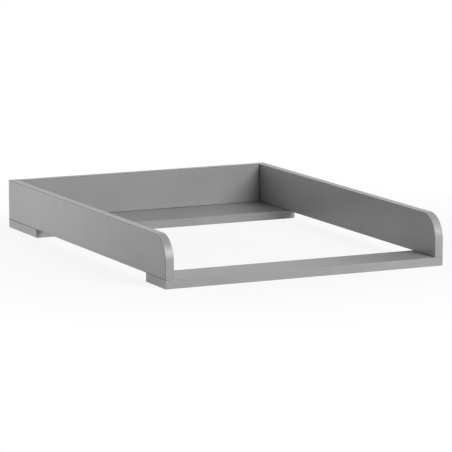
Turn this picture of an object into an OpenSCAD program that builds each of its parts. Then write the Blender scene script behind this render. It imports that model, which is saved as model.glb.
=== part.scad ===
// Changing top for a chest of drawers. Two side panels with rounded front
// corners and a back panel between them stand on two flat rails, and together
// they keep a changing mat in place. Every board is cut from one board stock
// and has glued edge bands. Connecting screws and fluted dowels come up through
// the rails, and a cam fitting with two dowels holds each back corner.
//
// X runs to the right, Y to the back and Z up. The origin is on the surface
// that the rails stand on, in the middle of the frame.

/* [Frame] */
// Outside width, over both side panels
frame_w = 540; // [460:10:700]
// Depth, from the front edge of the side panels to the back face
frame_d = 720; // [560:10:860]
// Height of the side and back panels above the rails
wall_h = 75; // [70:1:120]
// Radius of the rounded upper front corner of a side panel
corner_r = 44; // [20:1:60]

/* [Boards] */
// Thickness of the board that all panels and rails are cut from
board_t = 16; // [15:0.5:19]
// Width of the front rail, from front to back
front_rail_w = 82; // [70:1:140]
// Width of the rear rail, from front to back
rear_rail_w = 138; // [110:1:200]

/* [Edge bands] */
// Thickness of an edge band
band_t = 1; // [0.8:0.1:2]
// Radius of the rounded outer edges of a band
band_round = 0.8; // [0.3:0.1:0.8]

/* [Dowels] */
// Diameter of a fluted dowel
dowel_d = 8; // [6:0.5:9]
// Length of a fluted dowel
dowel_l = 30; // [25:1:35]
// Part of a dowel's length that sits in the face of a board
dowel_in_face = 10; // [8:0.5:12]

/* [Connecting screws] */
// Length of a connecting screw, from its head to its tip
screw_l = 50; // [42:1:60]
// Diameter of the countersunk head
screw_head_d = 10; // [8.5:0.5:11]
// Diameter of the plain shank below the head
screw_shank_d = 7; // [6.5:0.1:7.5]
// Diameter of the core that carries the thread
screw_core_d = 4.8; // [4:0.1:5.5]
// Width across the flats of the hexagon socket
screw_socket_w = 4; // [3:0.5:5]

/* [Cam fittings] */
// Diameter of a cam
cam_d = 15; // [14:0.5:18]
// Distance from the end of the back panel to a cam's axis
cam_inset = 24; // [22:1:34]
// Diameter of the bolt that runs from the side panel to the cam
cam_bolt_d = 6; // [5:0.5:7]
// Diameter of the bolt's round head, which the cam grips
cam_bolt_head_d = 6.8; // [6:0.1:7]

/* [Hidden] */
$fn = 64;

// Colours of the laminate, the edge bands, the dowels and the metal parts
board_colour = "#9c9c9c";
band_colour = "#a2a2a2";
wood_colour = "#c9a877";
zinc_colour = "#b9bcc0";

// Overrun of a cut past the face that it starts from
cut_over = 1;
// Gap all round between a piece of hardware and the hole that it sits in
fit_gap = 0.1;

// Places of the boards' faces and middle planes
front_y = -frame_d / 2;
back_y = frame_d / 2;
top_z = board_t + wall_h;
wall_mid_z = board_t + wall_h / 2;
inner_x = frame_w / 2 - board_t;
side_mid_x = frame_w / 2 - board_t / 2;
back_mid_y = back_y - board_t / 2;
front_rail_y1 = front_y + front_rail_w;
rear_rail_y0 = back_y - rear_rail_w;
// Height of the back panel between its bands
back_core_h = wall_h - 2 * band_t;

// Distance of the outer screws from the long edges of a rail, and of the last
// screw of the rear rail from the back face, where it clears the back corner
screw_inset = 20;
rear_screw_inset = 40;
// Distance between the screws that come up into the back panel
back_screw_pitch = 160;
// Distance of the dowels under the back panel from its middle
back_dowel_x = 80;
// Distance of the corner dowels above and below the cam's bolt
corner_dowel_dz = 25;
// Spare depth of a blind hole past the tip of what sits in it
hole_spare = 0.8;

// Dowels: chamfer of the ends, and number and radius of the flutes
dowel_chamfer = 1;
flute_count = 12;
flute_r = 0.45;

// Connecting screws: rim and cone of the head, depth below the surface, length
// of the plain shank past the head, cone of the tip, and depth of the socket
screw_rim_h = 0.6;
screw_cone_h = 3;
screw_sink = 0.4;
screw_shank_l = 12;
screw_tip_h = 4;
screw_tip_d = 2;
screw_socket_depth = 3.6;

// Cams: body past the bolt's axis, depth below the surface, eccentric chamber
// that grips the bolt head, and the slot and mouth that let the bolt in
cam_past_bolt = 4.5;
cam_sink = 0.3;
cam_edge_chamfer = 0.5;
cam_chamber_r = 5.1;
cam_chamber_h = 7.5;
cam_chamber_off = 0.6;
cam_slot_from = -25;
cam_slot_sweep = 225;
cam_mouth_at = 195;
cam_cross_l = 8;
cam_cross_w = 1.5;
cam_cross_depth = 2.4;
cam_mark_w = 2.2;
cam_mark_l = 2;
cam_mark_inset = 0.8;
cam_mark_depth = 0.5;

// Cam bolts: threaded end in the side panel, collar on its face, neck behind the
// head, and how far the head's middle stays short of the cam's axis
cam_bolt_thread_d = 4.8;
cam_bolt_thread_l = 10;
cam_bolt_tip_chamfer = 1;
cam_bolt_collar_d = 7.6;
cam_bolt_collar_h = 1.6;
cam_bolt_neck_d = 4;
cam_bolt_head_back = 0.9;

// Length of the cone between the shank and the core of a connecting screw
screw_shank_taper = (screw_shank_d - screw_core_d) / 2;

// Sides of the frame: -1 is the left one and 1 the right one
both = [-1, 1];

// Along the rails' depth: the screws of each rail, and the dowel between them
front_screw_ys = [front_y + screw_inset, front_rail_y1 - screw_inset];
rear_screw_ys = [rear_rail_y0 + screw_inset, back_y - rear_screw_inset];
function middle(pair) = (pair[0] + pair[1]) / 2;

// Points under and on top of the rails where the joints are
function under_side(sides, ys) = [for (s = sides, y = ys) [s * side_mid_x, y, 0]];
function on_rail(sides, y) = [for (s = sides) [s * side_mid_x, y, board_t]];
back_screw_at = [for (i = [-1:1]) [i * back_screw_pitch, back_mid_y, 0]];
back_dowel_at = [for (s = both) [s * back_dowel_x, back_mid_y, board_t]];

// Puts a copy of the children at each point
module each_at(points) {
    for (p = points)
        translate(p)
            children();
}

// Puts the children on the inner face of a side panel, at the back corner, dz
// above the cam's bolt, with their Z axis running into the end of the back panel
module into_back_end(side, dz = 0) {
    translate([side * inner_x, back_mid_y, wall_mid_z + dz])
        rotate([0, -90 * side, 0])
            children();
}

// Puts the children at a cam's place on the back face, with their Z axis
// pointing out of the face and their X axis towards the bolt
module at_cam(side) {
    translate([side * (inner_x - cam_inset), back_y, wall_mid_z])
        rotate([-90, 0, 0])
            rotate([0, 0, side > 0 ? 0 : 180])
                children();
}

// Rounded outer corner to be cut from an edge, at the origin of the quadrant
// that the edge's material fills
module round_cut(r) {
    difference() {
        translate([-cut_over, -cut_over])
            square(r + cut_over);
        translate([r, r])
            circle(r);
    }
}

// Section of an edge band, lying on the X axis: the glued face is at y = 0 and
// the outer corners at x = 0 and x = width are rounded where asked
module band_section(width, round_start = true, round_end = true) {
    r = min(band_round, band_t);
    difference() {
        square([width, band_t]);
        if (round_start)
            translate([0, band_t])
                mirror([0, 1])
                    round_cut(r);
        if (round_end)
            translate([width, band_t])
                mirror([0, 1])
                    mirror([1, 0])
                        round_cut(r);
    }
}

// Straight edge band along X, standing up by the board's thickness in Z, with
// its glued face on y = 0. Its long edges are rounded, and its ends where asked
module straight_band(length, round_start = true, round_end = true) {
    intersection() {
        linear_extrude(board_t)
            band_section(length, round_start, round_end);
        rotate([90, 0, 90])
            linear_extrude(length)
                mirror([1, 0])
                    rotate(90)
                        band_section(board_t);
    }
}

// Outline of a side panel in the YZ plane, drawn in by inset on every edge
module side_outline(inset) {
    difference() {
        translate([front_y + inset, board_t + inset])
            square([frame_d - 2 * inset, wall_h - 2 * inset]);
        translate([front_y + inset, top_z - inset])
            mirror([0, 1])
                round_cut(corner_r - inset);
    }
}

// Hole for a connecting screw, through a rail and up into a panel's edge
module screw_hole() {
    shank_end = screw_sink + screw_rim_h + screw_cone_h + screw_shank_l + screw_shank_taper;
    translate([0, 0, -cut_over])
        cylinder(h = shank_end + fit_gap + cut_over, d = screw_shank_d + 2 * fit_gap);
    translate([0, 0, -cut_over])
        cylinder(h = screw_sink + screw_rim_h + cut_over, d = screw_head_d + 2 * fit_gap);
    translate([0, 0, screw_sink + screw_rim_h])
        cylinder(h = screw_cone_h, d1 = screw_head_d + 2 * fit_gap, d2 = screw_shank_d + 2 * fit_gap);
    cylinder(h = screw_sink + screw_l + hole_spare, d = screw_core_d + 2 * fit_gap);
}

// Hole for a dowel on both sides of a joint, whose plane is z = 0
module dowel_hole() {
    translate([0, 0, -dowel_in_face - hole_spare])
        cylinder(h = dowel_l + 2 * hole_spare, d = dowel_d);
}

// Fluted dowel with chamfered ends, with its short end in the board below z = 0
module dowel() {
    r = dowel_d / 2 - fit_gap;
    translate([0, 0, -dowel_in_face])
        intersection() {
            linear_extrude(dowel_l)
                difference() {
                    circle(r);
                    for (i = [0:flute_count - 1])
                        rotate(i * 360 / flute_count)
                            translate([r, 0])
                                circle(flute_r);
                }
            rotate_extrude()
                polygon([
                    [0, 0], [r - dowel_chamfer, 0], [r, dowel_chamfer],
                    [r, dowel_l - dowel_chamfer], [r - dowel_chamfer, dowel_l], [0, dowel_l]
                ]);
        }
}

// Connecting screw, pointing up, with its head just inside the rail
module screw() {
    rim_z = screw_rim_h;
    shank_z = rim_z + screw_cone_h;
    core_z = shank_z + screw_shank_l;
    translate([0, 0, screw_sink])
        difference() {
            rotate_extrude()
                polygon([
                    [0, 0], [screw_head_d / 2, 0], [screw_head_d / 2, rim_z],
                    [screw_shank_d / 2, shank_z], [screw_shank_d / 2, core_z],
                    [screw_core_d / 2, core_z + screw_shank_taper],
                    [screw_core_d / 2, screw_l - screw_tip_h],
                    [screw_tip_d / 2, screw_l], [0, screw_l]
                ]);
            translate([0, 0, -cut_over])
                cylinder(h = screw_socket_depth + cut_over, d = screw_socket_w / cos(30), $fn = 6);
        }
}

// Blind bore of a cam in the back face
module cam_hole() {
    depth = board_t / 2 + cam_past_bolt;
    translate([0, 0, -depth])
        cylinder(h = depth + cut_over, d = cam_d + 2 * fit_gap);
}

// Hole of a cam bolt: threaded end in the side panel, shank in the back panel
module cam_bolt_hole() {
    translate([0, 0, -cam_bolt_thread_l - hole_spare])
        cylinder(h = cam_bolt_thread_l + hole_spare + cut_over, d = cam_bolt_thread_d + 2 * fit_gap);
    cylinder(h = cam_inset, d = cam_bolt_collar_d + 2 * fit_gap);
}

// Cam, turned to its locked position. An eccentric chamber inside grips the bolt
// head, a slot round the wall lets the neck pass while it turns, and the head
// goes in at the mouth
module cam() {
    depth = board_t / 2 + cam_past_bolt;
    head_room = cam_bolt_head_d + 2 * fit_gap;
    neck_room = cam_bolt_neck_d + 2 * fit_gap;
    bolt_z = -board_t / 2;
    r = cam_d / 2;
    difference() {
        rotate_extrude()
            polygon([
                [0, -depth], [r, -depth], [r, -cam_sink - cam_edge_chamfer],
                [r - cam_edge_chamfer, -cam_sink], [0, -cam_sink]
            ]);
        translate([-cam_chamber_off, 0, bolt_z - cam_chamber_h / 2])
            cylinder(h = cam_chamber_h, r = cam_chamber_r);
        rotate(cam_slot_from)
            rotate_extrude(angle = cam_slot_sweep)
                translate([cam_bolt_neck_d / 2, bolt_z - neck_room / 2])
                    square([r - cam_bolt_neck_d / 2 + cut_over, neck_room]);
        rotate(cam_mouth_at)
            translate([0, 0, bolt_z])
                rotate([0, 90, 0])
                    cylinder(h = r + cut_over, d = head_room);
        for (turn = [0, 90])
            rotate(turn)
                translate([-cam_cross_l / 2, -cam_cross_w / 2, -cam_sink - cam_cross_depth])
                    cube([cam_cross_l, cam_cross_w, cam_cross_depth + cut_over]);
        rotate(cam_mouth_at)
            translate([r - cam_mark_inset - cam_mark_l, 0, -cam_sink - cam_mark_depth])
                linear_extrude(cam_mark_depth + cut_over)
                    polygon([[0, -cam_mark_w / 2], [cam_mark_l, 0], [0, cam_mark_w / 2]]);
    }
}

// Bolt of a cam fitting, with its threaded end below z = 0
module cam_bolt() {
    head_z = cam_inset - cam_bolt_head_back;
    neck_z = cam_inset - cam_d / 2 - 2 * fit_gap;
    thread_r = cam_bolt_thread_d / 2;
    rotate_extrude() {
        polygon([
            [0, -cam_bolt_thread_l], [thread_r - cam_bolt_tip_chamfer, -cam_bolt_thread_l],
            [thread_r, cam_bolt_tip_chamfer - cam_bolt_thread_l], [thread_r, 0],
            [cam_bolt_collar_d / 2, 0], [cam_bolt_collar_d / 2, cam_bolt_collar_h],
            [cam_bolt_d / 2, cam_bolt_collar_h], [cam_bolt_d / 2, neck_z],
            [cam_bolt_neck_d / 2, neck_z], [cam_bolt_neck_d / 2, head_z], [0, head_z]
        ]);
        intersection() {
            translate([0, head_z])
                circle(d = cam_bolt_head_d);
            translate([0, head_z - cam_bolt_head_d])
                square([cam_bolt_head_d, 2 * cam_bolt_head_d]);
        }
    }
}

// All that is bored into the right side panel
module side_holes() {
    each_at(under_side([1], concat(front_screw_ys, rear_screw_ys)))
        screw_hole();
    each_at(concat(on_rail([1], middle(front_screw_ys)), on_rail([1], middle(rear_screw_ys))))
        dowel_hole();
    into_back_end(1)
        cam_bolt_hole();
    for (dz = both * corner_dowel_dz)
        into_back_end(1, dz)
            dowel_hole();
}

// Right side panel
module side_panel() {
    color(board_colour)
        difference() {
            translate([inner_x, 0, 0])
                rotate([90, 0, 90])
                    linear_extrude(board_t)
                        side_outline(band_t);
            side_holes();
        }
}

// Band of the right side panel that runs along the top, round the corner and
// down the front edge in one length
module side_rim_band() {
    straight_top = frame_d - corner_r;
    straight_front = wall_h - corner_r;
    color(band_colour)
        translate([inner_x, 0, 0]) {
            translate([0, front_y + corner_r, top_z - band_t])
                rotate([90, 0, 0])
                    mirror([0, 0, 1])
                        linear_extrude(straight_top)
                            band_section(board_t);
            translate([0, front_y + corner_r, top_z - corner_r])
                rotate([90, 0, 90])
                    rotate(90)
                        rotate_extrude(angle = 90)
                            translate([corner_r - band_t, 0])
                                mirror([1, 0])
                                    rotate(90)
                                        band_section(board_t);
            translate([0, front_y + band_t, board_t])
                mirror([0, 1, 0])
                    linear_extrude(straight_front)
                        band_section(board_t);
        }
}

// Band on the rear end of the right side panel, under the end of the rim band
module side_rear_band() {
    color(band_colour)
        translate([inner_x, back_y - band_t, board_t])
            linear_extrude(wall_h - band_t)
                band_section(board_t);
}

// Band on the bottom edge of the right side panel, between the two end bands
module side_bottom_band() {
    color(band_colour)
        difference() {
            translate([inner_x, back_y - band_t, board_t + band_t])
                rotate([90, 0, 0])
                    linear_extrude(frame_d - 2 * band_t)
                        mirror([0, 1])
                            band_section(board_t);
            side_holes();
        }
}

// All that is bored into the back panel
module back_panel_holes() {
    each_at(back_screw_at)
        screw_hole();
    each_at(back_dowel_at)
        dowel_hole();
    for (side = both) {
        into_back_end(side)
            cam_bolt_hole();
        for (dz = both * corner_dowel_dz)
            into_back_end(side, dz)
                dowel_hole();
        at_cam(side)
            cam_hole();
    }
}

// Back panel, between the side panels
module back_panel() {
    color(board_colour)
        difference() {
            translate([band_t - inner_x, back_y - board_t, board_t + band_t])
                cube([2 * (inner_x - band_t), board_t, back_core_h]);
            back_panel_holes();
        }
}

// Band on the top edge of the back panel
module back_panel_top_band() {
    color(band_colour)
        translate([-inner_x, back_y, top_z - band_t])
            rotate([90, 0, 0])
                straight_band(2 * inner_x);
}

// Band on the bottom edge of the back panel, on the rear rail
module back_panel_bottom_band() {
    color(band_colour)
        difference() {
            translate([-inner_x, back_y, board_t + band_t])
                mirror([0, 0, 1])
                    rotate([90, 0, 0])
                        straight_band(2 * inner_x);
            back_panel_holes();
        }
}

// Band on the right end of the back panel, between its two long bands
module back_panel_end_band() {
    color(band_colour)
        difference() {
            translate([inner_x - band_t, back_y - board_t, board_t + band_t])
                linear_extrude(back_core_h)
                    mirror([1, 0])
                        rotate(90)
                            band_section(board_t);
            back_panel_holes();
        }
}

// Rail of a given width whose front edge is at y0, without its bands
module rail_core(y0, width) {
    translate([band_t - frame_w / 2, y0 + band_t, 0])
        cube([frame_w - 2 * band_t, width - 2 * band_t, board_t]);
}

// Front rail, flat under the side panels
module front_rail() {
    color(board_colour)
        difference() {
            rail_core(front_y, front_rail_w);
            each_at(under_side(both, front_screw_ys))
                screw_hole();
            each_at(on_rail(both, middle(front_screw_ys)))
                dowel_hole();
        }
}

// Rear rail, flat under the side panels and the back panel
module rear_rail() {
    color(board_colour)
        difference() {
            rail_core(rear_rail_y0, rear_rail_w);
            each_at(concat(under_side(both, rear_screw_ys), back_screw_at))
                screw_hole();
            each_at(concat(on_rail(both, middle(rear_screw_ys)), back_dowel_at))
                dowel_hole();
        }
}

// Band on the rear long edge of a rail that ends at y1
module rail_rear_band(y1) {
    color(band_colour)
        translate([-frame_w / 2, y1 - band_t, 0])
            straight_band(frame_w);
}

// Band on the front long edge of a rail that starts at y0
module rail_front_band(y0) {
    color(band_colour)
        translate([-frame_w / 2, y0 + band_t, 0])
            mirror([0, 1, 0])
                straight_band(frame_w);
}

// Band on the right end of a rail, between its two long bands
module rail_end_band(y0, width) {
    color(band_colour)
        translate([frame_w / 2 - band_t, y0 + width - band_t, 0])
            rotate([0, 0, -90])
                straight_band(width - 2 * band_t, false, false);
}

// Mirrors the children over to the left side of the frame
module to_left() {
    mirror([1, 0, 0])
        children();
}

module cam_of(side) {
    color(zinc_colour)
        at_cam(side)
            cam();
}

module cam_bolt_of(side) {
    color(zinc_colour)
        into_back_end(side)
            cam_bolt();
}

module screws_at(points) {
    color(zinc_colour)
        each_at(points)
            screw();
}

module dowels_at(points) {
    color(wood_colour)
        each_at(points)
            dowel();
}

module corner_dowels() {
    color(wood_colour)
        for (side = both, dz = both * corner_dowel_dz)
            into_back_end(side, dz)
                dowel();
}

to_left() side_panel();  // left_side_panel
side_panel();  // right_side_panel
back_panel();
front_rail();
rear_rail();
to_left() side_rim_band();  // left_side_rim_band
to_left() side_rear_band();  // left_side_rear_band
to_left() side_bottom_band();  // left_side_bottom_band
side_rim_band();  // right_side_rim_band
side_rear_band();  // right_side_rear_band
side_bottom_band();  // right_side_bottom_band
back_panel_top_band();
back_panel_bottom_band();
to_left() back_panel_end_band();  // back_panel_left_end_band
back_panel_end_band();  // back_panel_right_end_band
rail_front_band(front_y);  // front_rail_front_band
rail_rear_band(front_rail_y1);  // front_rail_rear_band
to_left() rail_end_band(front_y, front_rail_w);  // front_rail_left_end_band
rail_end_band(front_y, front_rail_w);  // front_rail_right_end_band
rail_front_band(rear_rail_y0);  // rear_rail_front_band
rail_rear_band(back_y);  // rear_rail_rear_band
to_left() rail_end_band(rear_rail_y0, rear_rail_w);  // rear_rail_left_end_band
rail_end_band(rear_rail_y0, rear_rail_w);  // rear_rail_right_end_band
cam_of(-1);  // left_cam
cam_of(1);  // right_cam
cam_bolt_of(-1);  // left_cam_bolt
cam_bolt_of(1);  // right_cam_bolt
corner_dowels();
dowels_at(back_dowel_at);  // back_panel_dowels
dowels_at(on_rail(both, middle(front_screw_ys)));  // front_rail_dowels
dowels_at(on_rail(both, middle(rear_screw_ys)));  // rear_rail_dowels
screws_at(under_side(both, front_screw_ys));  // front_rail_screws
screws_at(under_side(both, rear_screw_ys));  // rear_rail_screws
screws_at(back_screw_at);  // back_panel_screws
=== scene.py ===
import math

import bmesh
import bpy
from mathutils import Matrix, Vector

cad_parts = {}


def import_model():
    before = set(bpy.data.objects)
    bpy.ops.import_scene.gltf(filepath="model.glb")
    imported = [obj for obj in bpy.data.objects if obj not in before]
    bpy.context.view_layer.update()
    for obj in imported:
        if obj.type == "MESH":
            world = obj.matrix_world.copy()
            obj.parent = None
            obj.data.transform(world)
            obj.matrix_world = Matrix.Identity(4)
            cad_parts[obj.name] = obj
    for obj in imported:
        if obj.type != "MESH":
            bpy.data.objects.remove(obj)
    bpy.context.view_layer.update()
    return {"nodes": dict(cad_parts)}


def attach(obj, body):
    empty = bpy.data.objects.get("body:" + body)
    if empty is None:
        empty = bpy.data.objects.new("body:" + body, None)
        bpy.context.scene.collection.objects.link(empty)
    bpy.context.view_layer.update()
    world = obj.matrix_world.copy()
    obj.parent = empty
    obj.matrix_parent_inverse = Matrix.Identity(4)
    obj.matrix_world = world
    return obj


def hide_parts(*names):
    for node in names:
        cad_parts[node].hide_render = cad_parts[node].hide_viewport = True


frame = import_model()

MM = 0.001

# Sizes that repeat the part's own, in metres
FRAME_W, FRAME_D, TOP_Z = 0.540, 0.720, 0.091
BOARD_T = 16 * MM
SIDE_MID_X = FRAME_W / 2 - BOARD_T / 2
BACK_MID_Y = FRAME_D / 2 - BOARD_T / 2
WALL_MID_Z = (BOARD_T + TOP_Z) / 2
INNER_X = FRAME_W / 2 - BOARD_T
INNER_Y = FRAME_D / 2 - BOARD_T
FRONT_RAIL_Y1, REAR_RAIL_Y0 = -0.278, 0.222
BAND_ROUND = 0.8 * MM
FRONT_SCREW_YS = (-0.340, -0.298)
REAR_SCREW_YS = (0.242, 0.320)
BACK_SCREW_XS = (-0.160, 0.0, 0.160)

# Connecting screw
SCREW_SINK = 0.4 * MM
SCREW_HEAD_R = 5.0 * MM
SCREW_RIM_H = 0.6 * MM
SCREW_CONE_H = 3.0 * MM
SCREW_SHANK_R = 3.5 * MM
SCREW_SHANK_L = 12.0 * MM
SCREW_CORE_R = 2.4 * MM
SCREW_CREST_R = 3.45 * MM
SCREW_PITCH = 3.0 * MM
SCREW_L = 50.0 * MM
SCREW_TIP_H = 4.0 * MM
SCREW_TIP_R = 1.0 * MM
SCREW_EDGE = 0.2 * MM
SOCKET_R = 2.31 * MM
SOCKET_CHAMFER = 0.25 * MM
SOCKET_DEPTH = 3.3 * MM
SOCKET_CONE = 0.6 * MM

# Cam bolt
BOLT_THREAD_L = 10.0 * MM
BOLT_POINT_H = 0.8 * MM
BOLT_POINT_IN = 0.5 * MM
BOLT_RUNOUT = 0.4 * MM
BOLT_EDGE = 0.25 * MM
BOLT_THREAD_CORE_R = 1.9 * MM
BOLT_THREAD_R = 2.4 * MM
BOLT_PITCH = 1.25 * MM
BOLT_COLLAR_R = 3.8 * MM
BOLT_COLLAR_H = 1.6 * MM
BOLT_SHANK_R = 3.0 * MM
BOLT_NECK_R = 2.0 * MM
BOLT_NECK_FROM = 16.3 * MM
BOLT_HEAD_R = 3.4 * MM
BOLT_HEAD_Z = 23.1 * MM

# Turned parts: vertices round their axis, and bands of a ball head
SEGMENTS = 24
BALL_STEPS = 12
SMOOTH_ANGLE = math.radians(32)

# Turn of the first screw round its axis, and from each screw to the next
FIRST_TURN, NEXT_TURN = 0.4, 1.7
# Share of the pitch that the foot of a thread's ridge takes
SCREW_RIDGE, BOLT_RIDGE = 0.35, 0.8

# Satin finish of boards and bands
ROUGHNESS = 0.33
ROUGHNESS_SPREAD = 0.02
SPECULAR = 0.45

# Nearly all values of a noise lie in this range
NOISE_RANGE = (0.3, 0.7)

# In the materials below, greys and colours are linear and patterns are in features a metre. A tone is
# how far a pattern moves the grey to either side, and a stretch draws it out. Fine is the share of its
# smallest detail. A relief is the depth of the bump, and its share how strongly that shows.

# Laminate
BOARD_GREY = 0.36
LAMINATE_T = 0.12 * MM
LAMINATE_CLOUD, LAMINATE_CLOUD_TONE = 14.0, 0.012
LAMINATE_SPECK, LAMINATE_SPECK_TONE = 1600.0, 0.006
LAMINATE_PEARL, LAMINATE_PEARL_FINE = 900.0, 0.55
LAMINATE_HAZE = 45.0
LAMINATE_RELIEF, LAMINATE_RELIEF_SHARE = 0.02 * MM, 0.35

# Raw chipboard. Its grain is rougher and deeper than the laminate
CHIP_FLAKES = (420.0, 420.0, 900.0)
CHIP_BROWNS = (
    (0.0, (0.20, 0.12, 0.06, 1)), (0.35, (0.42, 0.28, 0.16, 1)),
    (0.7, (0.55, 0.40, 0.25, 1)), (1.0, (0.66, 0.52, 0.35, 1)),
)
CHIP_GRAIN, CHIP_GRAIN_FINE = 700.0, 0.7
CHIP_DEEPER = 8.0
CHIP_ROUGHER = 0.45

# Edge bands. Their rounded edges are scraped a little darker and painted darker with shade, and the
# glue shows as a hairline between band and board
BAND_GREY = 0.36
SCRAPED_AND_SHADED_GREY = 0.26
SCRAPED_AND_SHADED_SHARE = 0.7
GLUE_GREY = 0.06
GLUE_W = 0.02 * MM
BAND_CLOUD, BAND_CLOUD_TONE = 18.0, 0.01
BAND_MARKS, BAND_MARKS_TONE = 1500.0, 0.006
BAND_MARKS_STRETCH = 0.03
BAND_SMOOTHER = 0.04
BAND_SKIN = 800.0
BAND_RELIEF, BAND_RELIEF_SHARE = 0.012 * MM, 0.2

# Painted shade in the grooves where two boards meet: its grey, half its height, and how softly it ends
SEAM_SHADE_GREY = 0.01
SEAM_SHADE_HALF = 0.4 * MM
SEAM_SHADE_SOFT = 0.2

# Raw beech: year rings, darker flecks and pores
BEECH_RINGS, BEECH_FLECKS, BEECH_WIDE_STRETCH = 420.0, 1300.0, 0.12
BEECH_FIBRE, BEECH_FIBRE_FINE, BEECH_FIBRE_STRETCH = 2600.0, 0.6, 0.06
BEECH_TONES = ((0.3, (0.50, 0.32, 0.17, 1)), (0.55, (0.63, 0.43, 0.25, 1)), (0.8, (0.70, 0.50, 0.31, 1)))
BEECH_FLECK_COLOUR, BEECH_FLECK_FROM, BEECH_FLECK_SHARE = (0.36, 0.20, 0.09, 1), 0.66, 0.5
BEECH_PORE_COLOUR, BEECH_PORE_SHARE, BEECH_PORE_RANGE = (0.42, 0.26, 0.13, 1), 0.35, (0.35, 0.7)
BEECH_ROUGHNESS = (0.6, 0.8)
BEECH_RELIEF, BEECH_RELIEF_SHARE = 0.05 * MM, 0.5

# Dull cast zinc
ZINC_SKIN, ZINC_SKIN_FINE, ZINC_STAINS = 1400.0, 0.65, 180.0
ZINC_STAINED, ZINC_CLEAN, ZINC_STAIN_RANGE = (0.46, 0.47, 0.49, 1), (0.64, 0.65, 0.67, 1), (0.35, 0.75)
ZINC_ROUGHNESS = (0.42, 0.6)
ZINC_RELIEF, ZINC_RELIEF_SHARE = 0.03 * MM, 0.6

# Bright zinc plating, between a blue and a yellow tint
PLATING_MARKS, PLATING_MARKS_STRETCH, PLATING_HAZE = 5000.0, 0.25, 260.0
PLATING_BLUE, PLATING_YELLOW, PLATING_TINT_RANGE = (0.66, 0.68, 0.72, 1), (0.76, 0.75, 0.71, 1), (0.35, 0.7)
PLATING_ROUGHNESS = (0.26, 0.38)
PLATING_RELIEF, PLATING_RELIEF_SHARE = 0.008 * MM, 0.5

# Where the nodes of a material stand in its editor
NODE_STEP_X, NODE_STEP_Y = 40, 12


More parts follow.
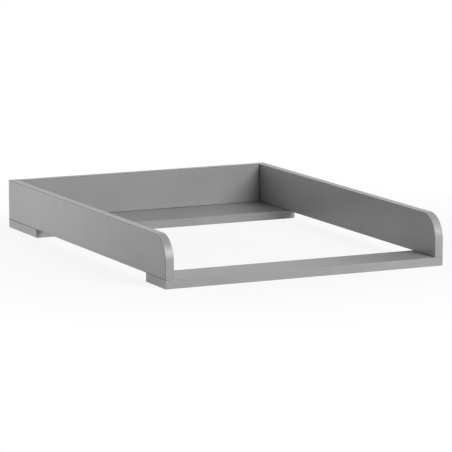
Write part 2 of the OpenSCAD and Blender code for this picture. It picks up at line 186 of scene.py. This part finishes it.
class Nodes:
    """A small helper that builds a node tree."""

    def __init__(self, tree):
        self.tree = tree
        self.tree.nodes.clear()
        self.column = 0

    def add(self, kind, inputs=None, **settings):
        n = self.tree.nodes.new(kind)
        self.column += 1
        n.location = (self.column * NODE_STEP_X, -self.column * NODE_STEP_Y)
        for key, value in settings.items():
            setattr(n, key, value)
        for key, value in (inputs or {}).items():
            self.put(n.inputs[key], value)
        return n

    def put(self, socket, value):
        """Links another node's output to a socket, or sets the socket to a value."""
        if isinstance(value, bpy.types.NodeSocket):
            self.tree.links.new(value, socket)
        else:
            socket.default_value = value

    def math(self, operation, a, b=0.0):
        return self.add("ShaderNodeMath", {0: a, 1: b}, operation=operation).outputs[0]

    def plus(self, a, b):
        return self.math("ADD", a, b)

    def times(self, a, b):
        return self.math("MULTIPLY", a, b)

    def over(self, value, limit):
        return self.math("GREATER_THAN", value, limit)

    def away(self, value, middle):
        """Distance of a value from a middle."""
        return self.math("ABSOLUTE", self.math("SUBTRACT", value, middle))

    def coords(self):
        return self.add("ShaderNodeTexCoord").outputs["Object"]

    def axes(self, vector):
        n = self.add("ShaderNodeSeparateXYZ", {0: vector})
        return {axis: n.outputs[axis] for axis in "XYZ"}

    def scaled(self, vector, scale):
        return self.add("ShaderNodeVectorMath", {0: vector, 1: scale}, operation="MULTIPLY").outputs[0]

    def stretched(self, vector, factor, along):
        """Coordinates in which a pattern is drawn out along some axes, by a factor below 1."""
        return self.scaled(vector, tuple(factor if axis in along else 1.0 for axis in "XYZ"))

    def noise(self, vector, scale, detail=2.0, roughness=0.5):
        return self.add("ShaderNodeTexNoise", {"Vector": vector, "Scale": scale, "Detail": detail,
                                               "Roughness": roughness}).outputs["Fac"]

    def remap(self, value, low, high, from_low=0.0, from_high=1.0):
        return self.add("ShaderNodeMapRange", {"Value": value, "From Min": from_low, "From Max": from_high,
                                               "To Min": low, "To Max": high}).outputs["Result"]

    def spread(self, noise, low, high):
        """A noise, drawn out from its range to another one."""
        return self.remap(noise, low, high, *NOISE_RANGE)

    def either_side(self, noise, tone):
        """A noise, drawn out to a tone on either side of 0."""
        return self.spread(noise, -tone, tone)

    def mix(self, factor, a, b):
        n = self.add("ShaderNodeMix", {0: factor}, data_type="RGBA")
        for socket, value in zip([i for i in n.inputs if i.type == "RGBA"], (a, b)):
            self.put(socket, value)
        return [o for o in n.outputs if o.type == "RGBA"][0]

    def ramp(self, value, *stops):
        n = self.add("ShaderNodeValToRGB", {"Fac": value})
        elements = n.color_ramp.elements
        while len(elements) < len(stops):
            elements.new(0.5)
        for element, (position, colour) in zip(elements, stops):
            element.position = position
            element.color = colour
        return n.outputs["Color"]

    def even(self, level):
        """The grey of a level."""
        return self.add("ShaderNodeCombineColor", {0: level, 1: level, 2: level}).outputs[0]

    def bump(self, height, distance, strength):
        inputs = {"Height": height, "Distance": distance, "Strength": strength}
        return self.add("ShaderNodeBump", inputs).outputs["Normal"]

    def seam_shade(self, vector):
        """Painted shade: 1 deep in the grooves where two boards meet, where no light gets in, and 0
        elsewhere.
        """
        at = self.axes(vector)
        x = self.math("ABSOLUTE", at["X"])
        y = self.math("ABSOLUTE", at["Y"])
        recess = SEAM_SHADE_HALF / 2
        ends = (SEAM_SHADE_HALF * (1 - SEAM_SHADE_SOFT), SEAM_SHADE_HALF * (1 + SEAM_SHADE_SOFT))
        beside = self.over(x, INNER_X + recess)
        behind = self.over(at["Y"], INNER_Y + recess)
        on_rail = self.math("MAXIMUM", self.over(FRONT_RAIL_Y1, at["Y"]), self.over(at["Y"], REAR_RAIL_Y0))
        level = self.remap(self.away(at["Z"], BOARD_T), 1.0, 0.0, *ends)
        flat = self.times(self.times(level, on_rail), self.math("MAXIMUM", beside, behind))
        upright = self.times(self.remap(self.away(x, INNER_X), 1.0, 0.0, *ends), behind)
        upright = self.times(upright, self.over(at["Z"], BOARD_T))
        in_width = self.over(FRAME_W / 2 - recess / 2, x)
        in_depth = self.over(FRAME_D / 2 - recess / 2, y)
        return self.times(self.math("MAXIMUM", flat, upright), self.times(in_width, in_depth))


class Material(Nodes):
    """The node tree of a new material."""

    def __init__(self, name):
        self.material = bpy.data.materials.new(name)
        self.material.use_nodes = True
        super().__init__(self.material.node_tree)

    def surface(self, shader):
        self.add("ShaderNodeOutputMaterial", {"Surface": shader.outputs[0]})
        return self.material

    def finish(self, **inputs):
        sockets = {key.replace("_", " "): value for key, value in inputs.items()}
        return self.surface(self.add("ShaderNodeBsdfPrincipled", sockets))


def grey(level):
    return (level, level, level, 1.0)


def melamine(name, axis, low, high):
    """Satin grey laminate on the two faces across an axis, and raw chipboard where the board is cut."""
    m = Material(name)
    where = m.coords()
    # Laminate: even grey, with a soft cloud in it and a fine pearl texture
    cloud = m.either_side(m.noise(where, LAMINATE_CLOUD, 3.0), LAMINATE_CLOUD_TONE)
    speck = m.either_side(m.noise(where, LAMINATE_SPECK), LAMINATE_SPECK_TONE)
    laminate = m.even(m.plus(m.plus(cloud, speck), BOARD_GREY))
    # Chipboard: flakes of several browns
    flakes = m.add("ShaderNodeTexVoronoi", {"Vector": m.scaled(where, CHIP_FLAKES), "Scale": 1.0},
                   feature="F1")
    pick = m.add("ShaderNodeSeparateColor", {0: flakes.outputs["Color"]}).outputs[0]
    wood = m.ramp(pick, *CHIP_BROWNS)
    # The laminate is only on the two outer faces
    depth = m.math("SUBTRACT", (high - low) / 2, m.away(m.axes(where)[axis], (low + high) / 2))
    raw = m.over(depth, LAMINATE_T)
    # Painted shade darkens the grooves where boards meet
    colour = m.mix(m.seam_shade(where), m.mix(raw, laminate, wood), grey(SEAM_SHADE_GREY))
    pearl = m.noise(where, LAMINATE_PEARL, 3.0, LAMINATE_PEARL_FINE)
    grain = m.noise(where, CHIP_GRAIN, 4.0, CHIP_GRAIN_FINE)
    height = m.plus(m.times(pearl, m.math("SUBTRACT", 1.0, raw)), m.times(m.times(grain, raw), CHIP_DEEPER))
    haze = m.either_side(m.noise(where, LAMINATE_HAZE), ROUGHNESS_SPREAD)
    rough = m.plus(m.plus(haze, ROUGHNESS), m.times(raw, CHIP_ROUGHER))
    return m.finish(Base_Color=colour, Roughness=rough, Specular_IOR_Level=SPECULAR,
                    Normal=m.bump(height, LAMINATE_RELIEF, LAMINATE_RELIEF_SHARE))


def edge_band(name, across, along):
    """Grey plastic band. It has faint scraper marks along its length, rounded edges on both sides of the
    board's thickness, which lies on the axis across, and a hairline of glue next to the board."""
    m = Material(name)
    where = m.coords()
    marks = m.noise(m.stretched(where, BAND_MARKS_STRETCH, along), BAND_MARKS)
    cloud = m.noise(where, BAND_CLOUD, 3.0)
    tone = m.plus(m.either_side(cloud, BAND_CLOUD_TONE), m.either_side(marks, BAND_MARKS_TONE))
    # Edges and glue: by the distance from the middle of the board's thickness
    place = m.axes(where)[across]
    if across == "X":
        place = m.math("ABSOLUTE", place)
    side = m.away(place, {"X": SIDE_MID_X, "Y": BACK_MID_Y, "Z": BOARD_T / 2}[across])
    half = BOARD_T / 2
    # Rounded edges: a little darker from scraping, and painted darker still with shade
    scraped_and_shaded = m.remap(side, BAND_GREY, SCRAPED_AND_SHADED_GREY, half - BAND_ROUND, half - SCRAPED_AND_SHADED_SHARE * BAND_ROUND)
    glue = m.times(m.over(side, half - GLUE_W), GLUE_GREY - SCRAPED_AND_SHADED_GREY)
    band = m.even(m.plus(tone, m.plus(scraped_and_shaded, glue)))
    # Painted shade darkens the grooves where boards meet
    colour = m.mix(m.seam_shade(where), band, grey(SEAM_SHADE_GREY))
    rough = m.spread(marks, ROUGHNESS - BAND_SMOOTHER, ROUGHNESS + ROUGHNESS_SPREAD)
    height = m.plus(marks, m.noise(where, BAND_SKIN))
    return m.finish(Base_Color=colour, Roughness=rough, Specular_IOR_Level=SPECULAR,
                    Normal=m.bump(height, BAND_RELIEF, BAND_RELIEF_SHARE))


def beech(name, along):
    """Raw beech, with its rays and pores along an axis."""
    m = Material(name)
    where = m.coords()
    wide = m.stretched(where, BEECH_WIDE_STRETCH, along)
    fibre = m.noise(m.stretched(where, BEECH_FIBRE_STRETCH, along), BEECH_FIBRE, 4.0, BEECH_FIBRE_FINE)
    rings = m.ramp(m.noise(wide, BEECH_RINGS, 3.0), *BEECH_TONES)
    fleck = m.times(m.over(m.noise(wide, BEECH_FLECKS, 1.0), BEECH_FLECK_FROM), BEECH_FLECK_SHARE)
    colour = m.mix(fleck, rings, BEECH_FLECK_COLOUR)
    colour = m.mix(m.remap(fibre, 0.0, BEECH_PORE_SHARE, *BEECH_PORE_RANGE), colour, BEECH_PORE_COLOUR)
    return m.finish(Base_Color=colour, Roughness=m.remap(fibre, *BEECH_ROUGHNESS),
                    Normal=m.bump(fibre, BEECH_RELIEF, BEECH_RELIEF_SHARE))


def cast_zinc(name):
    """Dull cast zinc, with a grainy skin and a few darker stains."""
    m = Material(name)
    where = m.coords()
    skin = m.noise(where, ZINC_SKIN, 4.0, ZINC_SKIN_FINE)
    stain = m.remap(m.noise(where, ZINC_STAINS, 3.0), 0.0, 1.0, *ZINC_STAIN_RANGE)
    return m.finish(Base_Color=m.mix(stain, ZINC_STAINED, ZINC_CLEAN), Metallic=1.0,
                    Roughness=m.spread(skin, *ZINC_ROUGHNESS),
                    Normal=m.bump(skin, ZINC_RELIEF, ZINC_RELIEF_SHARE))


def plated_steel(name, across):
    """Bright zinc plating with fine turning marks round an axis."""
    m = Material(name)
    where = m.coords()
    round_axis = "XYZ".replace(across, "")
    marks = m.noise(m.stretched(where, PLATING_MARKS_STRETCH, round_axis), PLATING_MARKS)
    haze = m.noise(where, PLATING_HAZE, 3.0)
    tint = m.remap(haze, 0.0, 1.0, *PLATING_TINT_RANGE)
    return m.finish(Base_Color=m.mix(tint, PLATING_BLUE, PLATING_YELLOW), Metallic=1.0,
                    Roughness=m.spread(haze, *PLATING_ROUGHNESS),
                    Normal=m.bump(marks, PLATING_RELIEF, PLATING_RELIEF_SHARE))


def spoke(bm, radius, turn, z):
    """A new vertex, whose place round the Z axis is given as a share of a turn."""
    angle = 2 * math.pi * turn
    return bm.verts.new((radius * math.cos(angle), radius * math.sin(angle), z))


def ring(bm, radius, z, count=SEGMENTS):
    """New vertices round the Z axis, or a single one on it."""
    if radius == 0:
        return [spoke(bm, 0, 0, z)]
    return [spoke(bm, radius, i / count, z) for i in range(count)]


def face(bm, *corners):
    """A face between the corners that differ."""
    corners = list(dict.fromkeys(corners))
    if len(corners) > 2:
        bm.faces.new(corners)


def bridge(bm, low, high):
    """Faces between two rings, either of which may be a single point."""
    for i in range(SEGMENTS):
        j = (i + 1) % SEGMENTS
        face(bm, low[i % len(low)], low[j % len(low)], high[j % len(high)], high[i % len(high)])


def lathe(bm, profile):
    """Revolves (radius, z) points about Z. A zero radius closes an end. Returns the rings."""
    rings = [ring(bm, radius, z) for radius, z in profile]
    for low, high in zip(rings, rings[1:]):
        bridge(bm, low, high)
    return rings


def thread(bm, start, core, crest, pitch, z0, z1, ridge):
    """A right-hand thread from the ring start, at z0, to a ring at z1, which it returns. The foot of its
    ridge takes a share of the pitch. The ridge rises in the first turn and fades in the last one."""
    turns = round((z1 - z0) / pitch)
    total = turns * SEGMENTS
    end = ring(bm, core, z1)
    shape = ((0.5 - ridge / 2, 0.0), (0.5, 1.0), (0.5 + ridge / 2, 0.0))
    root = {}

    def level(step):
        return z0 + (z1 - z0) * min(max(step / total, 0.0), 1.0)

    def root_at(step):
        if step <= 0:
            return start[step % SEGMENTS]
        if step >= total:
            return end[step % SEGMENTS]
        if step not in root:
            root[step] = spoke(bm, core, step / SEGMENTS, level(step))
        return root[step]

    last = [start[0]] * (len(shape) + 2)
    for step in range(1, total + SEGMENTS):
        low, high = level(step - SEGMENTS), level(step)
        height = (crest - core) * (high - low) * turns / (z1 - z0)
        column = [spoke(bm, core + height * rise, step / SEGMENTS, low + (high - low) * share)
                  for share, rise in shape]
        column = [root_at(step - SEGMENTS)] + column + [root_at(step)]
        for row in range(len(column) - 1):
            face(bm, last[row], column[row], column[row + 1], last[row + 1])
        last = column
    for row in range(len(last) - 1):
        face(bm, last[row], end[0], last[row + 1])
    return end


def screw_mesh(bm):
    """Connecting screw that points up, with its head just above z = 0."""
    z = SCREW_SINK
    rim = z + SCREW_RIM_H
    cone = rim + SCREW_CONE_H
    shank = cone + SCREW_SHANK_L
    core = shank + SCREW_SHANK_R - SCREW_CORE_R
    tip = z + SCREW_L
    rings = lathe(bm, [(SCREW_HEAD_R - SCREW_EDGE, z), (SCREW_HEAD_R, z + SCREW_EDGE), (SCREW_HEAD_R, rim),
                       (SCREW_SHANK_R, cone), (SCREW_SHANK_R, shank), (SCREW_CORE_R, core)])
    end = thread(bm, rings[-1], SCREW_CORE_R, SCREW_CREST_R, SCREW_PITCH, core, tip - SCREW_TIP_H,
                 SCREW_RIDGE)
    point = ring(bm, SCREW_TIP_R, tip)
    bridge(bm, end, point)
    bm.faces.new(point)
    hexagon_socket(bm, rings[0], z)


def hexagon_socket(bm, rim, z):
    """Fills a head's rim with a hexagon socket that has a chamfered mouth and a drilled point."""
    sides = 6
    mouth = ring(bm, SOCKET_R + SOCKET_CHAMFER, z, sides)
    wall = ring(bm, SOCKET_R, z + SOCKET_CHAMFER, sides)
    deep = ring(bm, SOCKET_R, z + SOCKET_DEPTH, sides)
    point = spoke(bm, 0, 0, z + SOCKET_DEPTH + SOCKET_CONE)
    share = SEGMENTS // sides
    half = share // 2
    for k in range(sides):
        n = (k + 1) % sides
        arc = [rim[(k * share + i) % SEGMENTS] for i in range(share + 1)]
        face(bm, mouth[k], *arc[:half + 1])
        face(bm, mouth[k], arc[half], mouth[n])
        face(bm, mouth[n], *arc[half:])
        face(bm, mouth[k], mouth[n], wall[n], wall[k])
        face(bm, wall[k], wall[n], deep[n], deep[k])
        face(bm, deep[k], deep[n], point)


def bolt_mesh(bm):
    """Cam bolt along Z: its thread ends at z = 0 and its ball head is at the other end."""
    tip, root = -BOLT_THREAD_L, BOLT_POINT_H - BOLT_THREAD_L
    rings = lathe(bm, [(0, tip), (BOLT_THREAD_CORE_R - BOLT_POINT_IN, tip), (BOLT_THREAD_CORE_R, root)])
    end = thread(bm, rings[-1], BOLT_THREAD_CORE_R, BOLT_THREAD_R, BOLT_PITCH, root, -BOLT_RUNOUT,
                 BOLT_RIDGE)
    edge = BOLT_EDGE
    profile = [(BOLT_THREAD_CORE_R, 0), (BOLT_COLLAR_R - edge, 0), (BOLT_COLLAR_R, edge),
               (BOLT_COLLAR_R, BOLT_COLLAR_H - edge), (BOLT_COLLAR_R - edge, BOLT_COLLAR_H),
               (BOLT_SHANK_R, BOLT_COLLAR_H), (BOLT_SHANK_R, BOLT_NECK_FROM - edge),
               (BOLT_SHANK_R - edge, BOLT_NECK_FROM), (BOLT_NECK_R, BOLT_NECK_FROM + edge)]
    low = math.asin(BOLT_NECK_R / BOLT_HEAD_R)
    for i in range(BALL_STEPS):
        angle = low + (math.pi - low) * i / BALL_STEPS
        profile.append((BOLT_HEAD_R * math.sin(angle), BOLT_HEAD_Z - BOLT_HEAD_R * math.cos(angle)))
    profile.append((0, BOLT_HEAD_Z + BOLT_HEAD_R))
    bridge(bm, end, lathe(bm, profile)[0])


def fasteners(name, nodes, build, places, material):
    """One object with a copy of a fastener at each place, which takes the place of the CAD nodes."""
    bm = bmesh.new()
    build(bm)
    bmesh.ops.recalc_face_normals(bm, faces=bm.faces)
    single = bpy.data.meshes.new(name + "_one")
    bm.to_mesh(single)
    bm.free()
    bm = bmesh.new()
    for place in places:
        copy = single.copy()
        copy.transform(place)
        bm.from_mesh(copy)
        bpy.data.meshes.remove(copy)
    bpy.data.meshes.remove(single)
    mesh = bpy.data.meshes.new(name)
    bm.to_mesh(mesh)
    bm.free()
    mesh.polygons.foreach_set("use_smooth", [True] * len(mesh.polygons))
    mesh.set_sharp_from_angle(angle=SMOOTH_ANGLE)
    mesh.materials.append(material)
    obj = bpy.data.objects.new(name, mesh)
    bpy.context.scene.collection.objects.link(obj)
    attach(obj, "root")
    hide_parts(*nodes)


def turned(x, y, turn):
    """Place of a fastener that stands upright, turned round its axis."""
    return Matrix.Translation((x, y, 0)) @ Matrix.Rotation(turn, 4, "Z")


def lying(side, x, y, z):
    """Place of a fastener that lies along X and points inwards from the left (-1) or right (1) side."""
    return Matrix.Translation((side * x, y, z)) @ Matrix.Rotation(-side * math.pi / 2, 4, "Y")


def all_fasteners():
    """The threaded screws and cam bolts."""
    steel_up = plated_steel("steel_screws", "Z")
    rows = (("front_rail_screws", [(s * SIDE_MID_X, y) for s in (-1, 1) for y in FRONT_SCREW_YS]),
            ("rear_rail_screws", [(s * SIDE_MID_X, y) for s in (-1, 1) for y in REAR_SCREW_YS]),
            ("back_panel_screws", [(x, BACK_MID_Y) for x in BACK_SCREW_XS]))
    turn = FIRST_TURN
    for name, points in rows:
        places = []
        for x, y in points:
            places.append(turned(x, y, turn))
            turn += NEXT_TURN
        fasteners(name + "_threaded", [name], screw_mesh, places, steel_up)
    steel_across = plated_steel("steel_bolts", "X")
    for side, name in ((-1, "left_cam_bolt"), (1, "right_cam_bolt")):
        place = lying(side, INNER_X, BACK_MID_Y, WALL_MID_Z)
        fasteners(name + "_threaded", [name], bolt_mesh, [place], steel_across)


# Bands by a part of their names: the axis of the board's thickness and those that the band runs along
BANDS = {
    "side_rim": ("X", "YZ"), "side_rear": ("X", "Z"), "side_bottom": ("X", "Y"),
    "back_panel_top": ("Y", "X"), "back_panel_bottom": ("Y", "X"),
    "back_panel_left_end": ("Y", "Z"), "back_panel_right_end": ("Y", "Z"),
    "rail_front_band": ("Z", "X"), "rail_rear_band": ("Z", "X"),
    "rail_left_end": ("Z", "Y"), "rail_right_end": ("Z", "Y"),
}


def dress_nodes():
    """Gives every CAD node that stays its own material."""
    half_w, half_d = FRAME_W / 2, FRAME_D / 2
    made = {
        "left_side_panel": melamine("melamine_left_side", "X", -half_w, BOARD_T - half_w),
        "right_side_panel": melamine("melamine_right_side", "X", half_w - BOARD_T, half_w),
        "back_panel": melamine("melamine_back", "Y", half_d - BOARD_T, half_d),
    }
    rail = melamine("melamine_rails", "Z", 0.0, BOARD_T)
    made["front_rail"] = made["rear_rail"] = rail
    bands = {part: edge_band("edge_band_" + part, across, along) for part, (across, along) in BANDS.items()}
    zinc = cast_zinc("zinc_cams")
    dowel = {axis: beech("beech_" + axis.lower(), axis) for axis in "XZ"}
    for name, obj in frame["nodes"].items():
        if name in made:
            material = made[name]
        elif "band" in name:
            material = bands[[part for part in BANDS if part in name][0]]
        elif "dowels" in name:
            material = dowel["X" if name == "corner_dowels" else "Z"]
        elif name.endswith("_cam"):
            material = zinc
        else:
            continue
        for i in range(len(obj.material_slots)):
            obj.material_slots[i].material = material


# Camera, at the photograph's angle
SENSOR_MM = 36.0
LENS_MM = 246.05
CAMERA_AT = (-2.4041, -5.0609, 0.9641)
CAMERA_YAW = 0.44606
CAMERA_PITCH = 0.16405

# Floor: half its width, and its distance below the part
FLOOR_R = 30.0
FLOOR_DROP = 0.15 * MM
FLOOR_COLOUR = 0.8
# Share of the shadow that the camera sees, and the distances over which it fades
SHADOW_SHARE = 0.12
SHADOW_NEAR, SHADOW_FAR = 0.4, 0.8
# Light from below: its strength and the angle that it spreads over
BELOW_LEVEL = 1.0
BELOW_ANGLE = 0.1

# Middle of the part, which the lamps face
LIT_POINT = (0, 0, 0.05)
# Lamps: name, place, width, height and watts
LAMPS = (
    ("front_low_strip", (1.02, -3.81, 0.74), 0.8, 0.35, 10.5),
    ("front_strip", (1.00, -3.75, 1.02), 0.8, 0.35, 10.7),
    ("front_high_strip", (0.58, -3.27, 2.29), 0.8, 0.35, 26.6),
    ("front_right_low_strip", (1.61, -3.45, 1.29), 0.8, 0.35, 15.0),
    ("front_right_strip", (1.52, -3.26, 1.80), 0.8, 0.35, 24.5),
    ("front_right_high_strip", (1.13, -3.12, 2.29), 0.8, 0.35, 17.5),
    ("right_high", (1.41, -2.45, 2.88), 1.3, 0.9, 21.6),
    ("rear_high", (0, 1.69, 3.68), 1.3, 0.9, 3.8),
    ("left_rear", (-3.41, 1.97, 0.74), 1.3, 0.9, 18.9),
    ("left_rear_near", (-0.95, 0.65, 0.50), 0.45, 0.25, 1.7),
    ("left_low_near", (-0.95, 0.20, 0.06), 0.45, 0.1, 1.5),
)
# Low lamps behind the part and to its right, which no reflection shows
FILL_LAMPS = (
    ("rear_fill", (0, 1.5, 0.15), 0.8, 0.25, 8.0),
    ("right_fill", (1.5, 0, 0.12), 0.8, 0.2, 6.5),
)


def background_rays(n):
    """1 for the rays that see the plain white background, and 0 for those that carry light to the part."""
    path = n.add("ShaderNodeLightPath")
    seen = n.math("MAXIMUM", path.outputs["Is Camera Ray"], path.outputs["Is Transmission Ray"])
    return n.math("MAXIMUM", seen, path.outputs["Is Glossy Ray"])


def world():
    """White surroundings, which the camera and reflections see, and which give no light."""
    w = bpy.data.worlds.new("studio")
    w.use_nodes = True
    n = Nodes(w.node_tree)
    back = n.add("ShaderNodeBackground", {"Color": grey(1.0), "Strength": background_rays(n)})
    n.add("ShaderNodeOutputWorld", {"Surface": back.outputs[0]})
    bpy.context.scene.world = w


def floor():
    """White floor. The camera sees it glow white, with the part's soft shadow kept near the part.
    From below it is clear, and the light from below passes through it."""
    mesh = bpy.data.meshes.new("floor")
    r = FLOOR_R
    mesh.from_pydata([(-r, -r, 0), (r, -r, 0), (r, r, 0), (-r, r, 0)], [], [(0, 1, 2, 3)])
    obj = bpy.data.objects.new("floor", mesh)
    obj.location.z = -FLOOR_DROP
    bpy.context.scene.collection.objects.link(obj)
    n = Material("floor")
    lit = n.add("ShaderNodeBsdfDiffuse", {"Color": grey(FLOOR_COLOUR)})
    white = n.add("ShaderNodeEmission")
    catch = n.add("ShaderNodeBsdfDiffuse", {"Color": grey(1.0)})
    away = n.add("ShaderNodeVectorMath", {0: n.coords()}, operation="LENGTH").outputs["Value"]
    share = n.remap(away, SHADOW_SHARE, 0.0, SHADOW_NEAR, SHADOW_FAR)
    seen = n.add("ShaderNodeMixShader", {0: share, 1: white.outputs[0], 2: catch.outputs[0]})
    above = n.add("ShaderNodeMixShader", {0: background_rays(n), 1: lit.outputs[0], 2: seen.outputs[0]})
    below = n.add("ShaderNodeBsdfTransparent")
    side = n.add("ShaderNodeNewGeometry").outputs["Backfacing"]
    both = n.add("ShaderNodeMixShader", {0: side, 1: above.outputs[0], 2: below.outputs[0]})
    mesh.materials.append(n.surface(both))
    obj.visible_shadow = False


def area_lamp(name, place, width, height, watts):
    """A rectangular lamp that faces the part, and that the camera doesn't see."""
    data = bpy.data.lights.new(name, "AREA")
    data.shape = "RECTANGLE"
    data.size, data.size_y, data.energy = width, height, watts
    obj = bpy.data.objects.new(name, data)
    obj.location = place
    obj.rotation_euler = (Vector(LIT_POINT) - Vector(place)).to_track_quat("-Z", "Y").to_euler()
    obj.visible_camera = False
    bpy.context.scene.collection.objects.link(obj)
    return obj


def lamps():
    """All lamps above the floor."""
    for lamp in LAMPS:
        area_lamp(*lamp)
    for lamp in FILL_LAMPS:
        area_lamp(*lamp).visible_glossy = False


def light_from_below():
    """Straight upward light, which shows the underside and leaves the upright faces alone."""
    data = bpy.data.lights.new("below", "SUN")
    data.energy, data.angle = BELOW_LEVEL, BELOW_ANGLE
    obj = bpy.data.objects.new("below", data)
    obj.rotation_euler = (math.pi, 0, 0)
    bpy.context.scene.collection.objects.link(obj)


def camera():
    """Long lens on the left front, slightly above the part."""
    data = bpy.data.cameras.new("camera")
    data.sensor_width = SENSOR_MM
    data.lens = LENS_MM
    obj = bpy.data.objects.new("camera", data)
    obj.location = CAMERA_AT
    obj.rotation_euler = (math.pi / 2 - CAMERA_PITCH, 0, -CAMERA_YAW)
    bpy.context.scene.collection.objects.link(obj)
    bpy.context.scene.camera = obj


camera()
world()
floor()
lamps()
light_from_below()
dress_nodes()
all_fasteners()
bpy.context.scene.view_settings.view_transform = "Standard"
